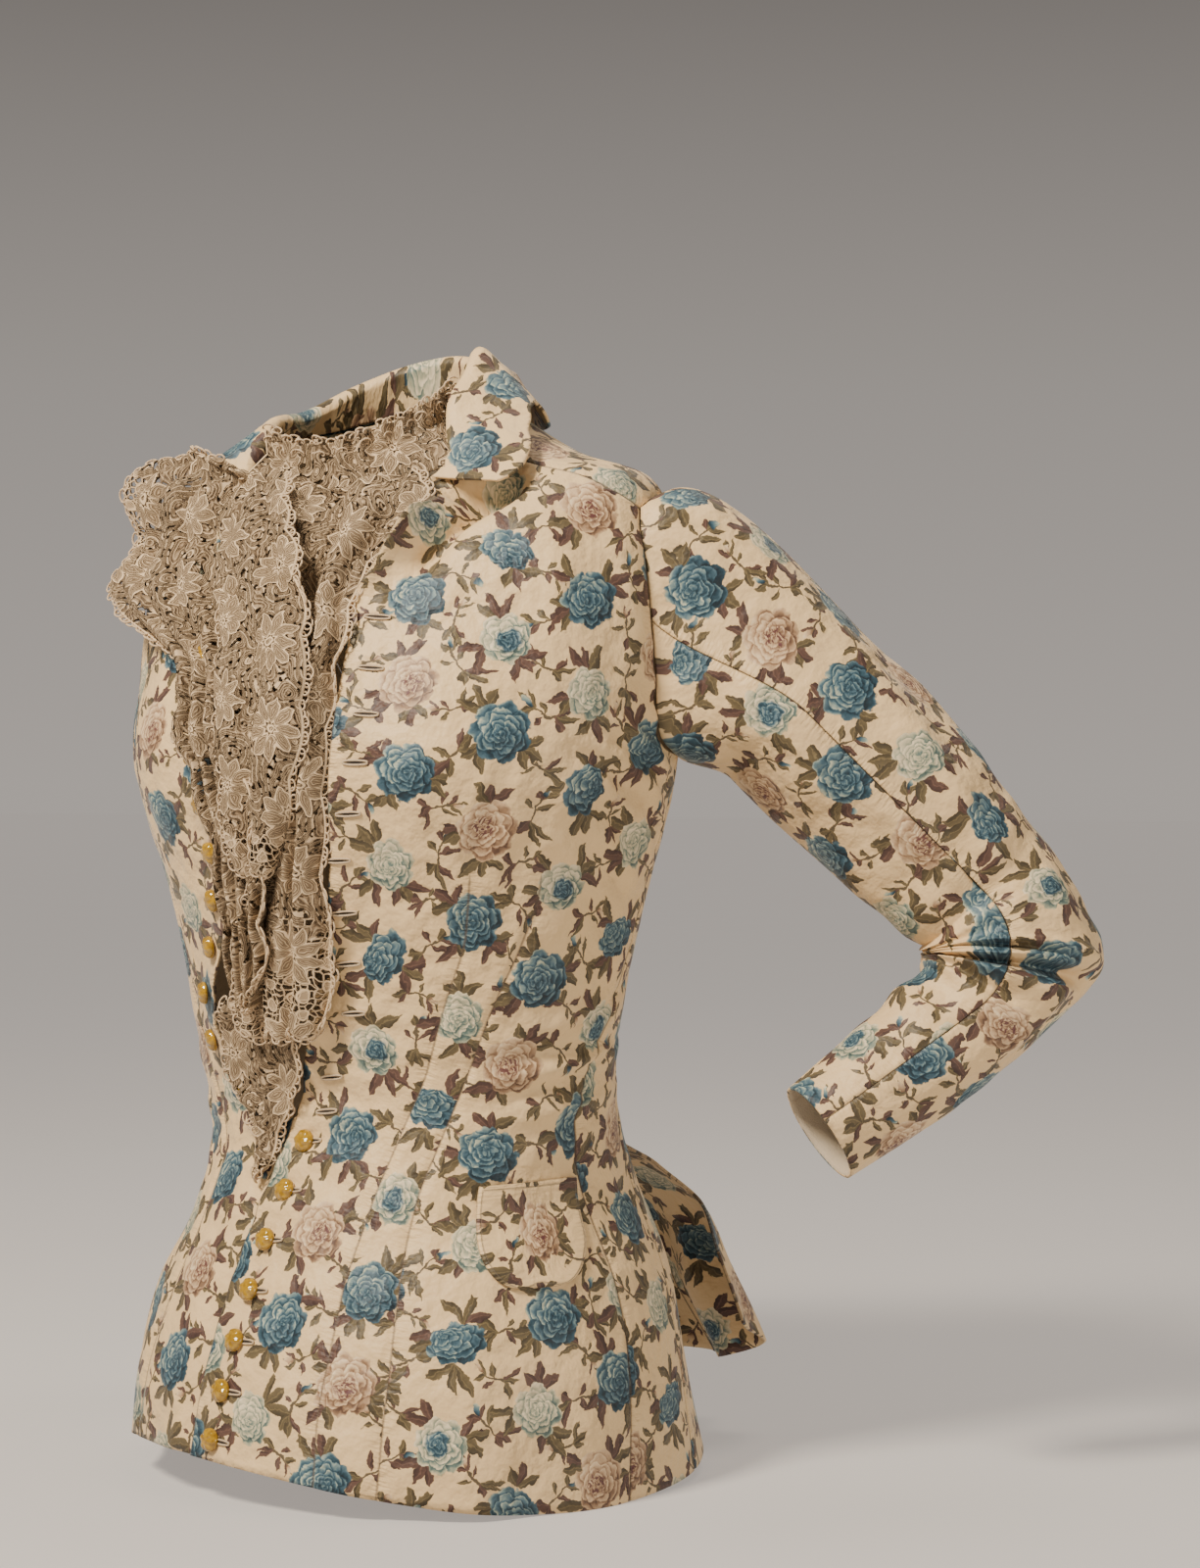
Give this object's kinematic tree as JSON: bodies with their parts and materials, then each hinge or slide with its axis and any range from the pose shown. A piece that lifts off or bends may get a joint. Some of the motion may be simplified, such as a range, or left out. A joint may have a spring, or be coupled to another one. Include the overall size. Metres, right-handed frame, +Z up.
{
  "type": "fitted basque jacket with lace jabot",
  "caption": "Fitted, flared basque jacket of printed cotton with turned-down collar, bent sleeves, domed buttons, lace jabot and a tail over the bustle.",
  "frame": {"origin": "middle of the neck base, where the wearer's neck carries the garment", "axes": "+Z up, -Y the way the wearer faces, +X the wearer's left"},
  "size_m": [0.5703, 0.3654, 0.5968],
  "materials": {
    "print_cotton": "soft sheen printed sateen",
    "lace": "matt tape lace",
    "amber_glass": "glossy"
  },
  "bodies": {
    "root": {"front_left": "print_cotton", "front_right": "print_cotton", "side_left": "print_cotton", "side_right": "print_cotton", "side_back_left": "print_cotton", "side_back_right": "print_cotton", "back_left": "print_cotton", "back_right": "print_cotton", "sleeve_left_upper": "print_cotton", "sleeve_left_under": "print_cotton", "sleeve_right_upper": "print_cotton", "sleeve_right_under": "print_cotton", "collar": "print_cotton", "pocket": "print_cotton", "lace_ruffle_right": "lace", "lace_fall_left": "lace", "lace_pleat_centre": "lace", "lace_fall_under": "lace", "lace_neck_frill": "lace", "button_01": "amber_glass", "button_02": "amber_glass", "button_03": "amber_glass", "button_04": "amber_glass", "button_05": "amber_glass", "button_06": "amber_glass", "button_07": "amber_glass", "button_08": "amber_glass", "button_09": "amber_glass", "button_10": "amber_glass", "button_11": "amber_glass", "button_12": "amber_glass", "button_13": "amber_glass", "button_14": "amber_glass", "button_15": "amber_glass", "button_16": "amber_glass", "button_17": "amber_glass", "button_18": "amber_glass"}
  },
  "joints": []
}
